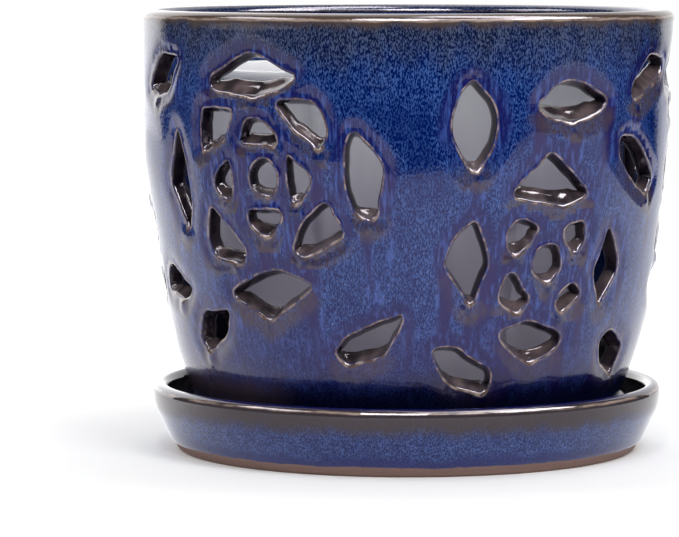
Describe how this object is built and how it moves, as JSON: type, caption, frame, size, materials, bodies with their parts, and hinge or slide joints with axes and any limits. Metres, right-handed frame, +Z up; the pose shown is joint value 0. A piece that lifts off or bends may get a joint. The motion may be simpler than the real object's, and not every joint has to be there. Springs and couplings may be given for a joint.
{
  "type": "orchid pot",
  "caption": "Rounded stoneware orchid pot with pierced flower shaped slots round its wall, standing in a drip saucer and holding a thin growing pot, all of which lift out",
  "frame": {"origin": "on the ground under the middle of the saucer, on the axis of the pot", "axes": "+Z up along the axis of the pot; the side that the picture shows faces -Y; +X to the right as seen from there"},
  "size_m": [0.158, 0.158, 0.1303],
  "materials": {
    "saucer_glaze": "glossy cobalt blue reactive glaze with light blue flecks, brown where it is thin, over bare pinkish clay at the foot",
    "pot_glaze": "glossy cobalt blue reactive glaze with light blue flecks and violet runs below the slots, brown on the edges",
    "liner_plastic": "matt pale grey"
  },
  "bodies": {
    "saucer": {"saucer": "saucer_glaze"},
    "pot": {"pot": "pot_glaze"},
    "liner": {"inner_liner": "liner_plastic"}
  },
  "joints": [
    {"name": "pot_lift", "type": "slide", "parent": "saucer", "child": "pot", "axis": [0, 0, 1], "range_m": [0, 0.05]},
    {"name": "liner_lift", "type": "slide", "parent": "pot", "child": "liner", "axis": [0, 0, 1], "range_m": [0, 0.13]}
  ]
}
